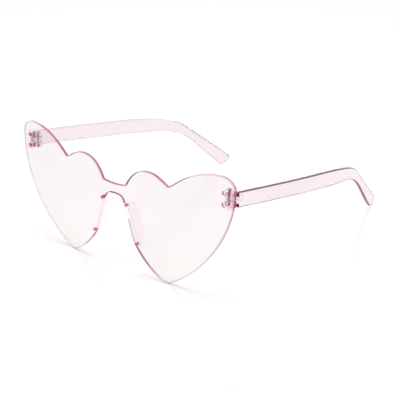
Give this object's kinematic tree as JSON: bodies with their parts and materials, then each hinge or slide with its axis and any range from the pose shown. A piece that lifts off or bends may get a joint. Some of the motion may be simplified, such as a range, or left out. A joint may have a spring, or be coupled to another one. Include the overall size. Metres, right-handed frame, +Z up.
{
  "type": "heart shaped sunglasses",
  "caption": "Rimless glasses with heart shaped lenses and bridge in one clear pale pink sheet, nose pads, and folding hooked arms on screw hinges.",
  "frame": {"origin": "on the floor under the middle of the open glasses, as they stand on the heart tips and the hook ends", "axes": "+X to the wearer's left, across the face; +Y from the front back to the ear hooks; +Z up"},
  "size_m": [0.1458, 0.1598, 0.0633],
  "materials": {
    "lens_sheet": "clear pale pink tint, polished edges",
    "arm_plastic": "translucent pink, glossy",
    "hinge_plastic": "translucent deeper pink, glossy",
    "pad_plastic": "translucent pink, glossy",
    "screw_steel": "bright steel"
  },
  "bodies": {
    "front": {"lens_shield": "lens_sheet", "left_hinge_block": "hinge_plastic", "right_hinge_block": "hinge_plastic", "left_hinge_screw": "screw_steel", "right_hinge_screw": "screw_steel", "left_nose_pad": "pad_plastic", "right_nose_pad": "pad_plastic"},
    "left_arm": {"left_temple": "arm_plastic"},
    "right_arm": {"right_temple": "arm_plastic"}
  },
  "joints": [
    {"name": "left_temple_fold", "type": "hinge", "parent": "front", "child": "left_arm", "pos_m": [0.0662, -0.06879, 0.05152], "axis": [0, 0.025, 0.9997], "range_deg": [0, 87]},
    {"name": "right_temple_fold", "type": "hinge", "parent": "front", "child": "right_arm", "pos_m": [-0.0662, -0.06879, 0.05152], "axis": [0, -0.025, -0.9997], "range_deg": [0, 82]}
  ]
}
